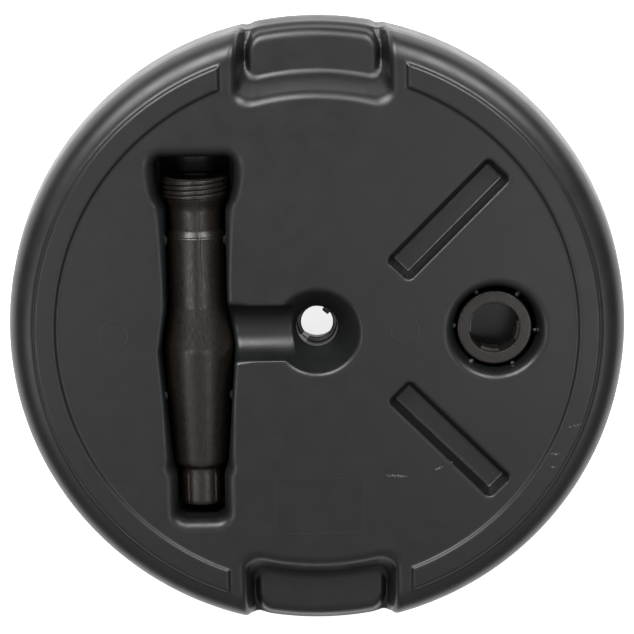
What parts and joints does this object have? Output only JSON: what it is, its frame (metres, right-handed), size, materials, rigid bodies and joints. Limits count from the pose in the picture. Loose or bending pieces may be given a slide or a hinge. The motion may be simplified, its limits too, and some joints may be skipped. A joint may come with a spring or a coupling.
{
  "type": "parasol base",
  "caption": "Round fillable plastic parasol base, underside up, with its loose standpipe and clamp nut stored in recesses of the underside.",
  "frame": {"origin": "on the pole bore's axis, in the plane of the hub that the stored base lies on", "axes": "+Z out of the underside, which faces up as the base is stored; +X from the bore to the clamp nut's recess, -X to the standpipe; +Y to one carrying grip, square to the filler cap at -Y. In use the base is turned over by 180 degrees about X"},
  "size_m": [0.5, 0.5, 0.0825],
  "materials": {
    "tank_shell": "satin, fine grain",
    "pipe_plastic": "semi-gloss, faint flow marks",
    "cap_plastic": "satin",
    "seal_rubber": "matte"
  },
  "bodies": {
    "root": {"tank_body": "tank_shell"},
    "standpipe": {"standpipe": "pipe_plastic"},
    "clamp_nut": {"clamp_nut": "pipe_plastic"},
    "clamp_ring": {"clamp_ring": "pipe_plastic"},
    "filler_seal": {"filler_seal": "seal_rubber"},
    "filler_cap": {"filler_cap": "cap_plastic"}
  },
  "joints": [
    {"name": "standpipe_lift", "type": "slide", "parent": "root", "child": "standpipe", "axis": [0, 0, 1], "range_m": [0, 0.075]},
    {"name": "clamp_nut_lift", "type": "slide", "parent": "root", "child": "clamp_nut", "axis": [0, 0, 1], "range_m": [0, 0.06]},
    {"name": "clamp_ring_slide", "type": "slide", "parent": "clamp_nut", "child": "clamp_ring", "axis": [0, 0, -1], "range_m": [0, 0.014]},
    {"name": "cap_lift", "type": "slide", "parent": "root", "child": "filler_seal", "axis": [0, 0, -1], "range_m": [0, 0.006]},
    {"name": "cap_turn", "type": "hinge", "parent": "filler_seal", "child": "filler_cap", "pos_m": [0, -0.14, 0], "axis": [0, 0, -1], "range_deg": [0, 720]}
  ],
  "couplings": [
    {"joint": "cap_lift", "follows": "cap_turn", "m_per_rad": 0.000477}
  ]
}
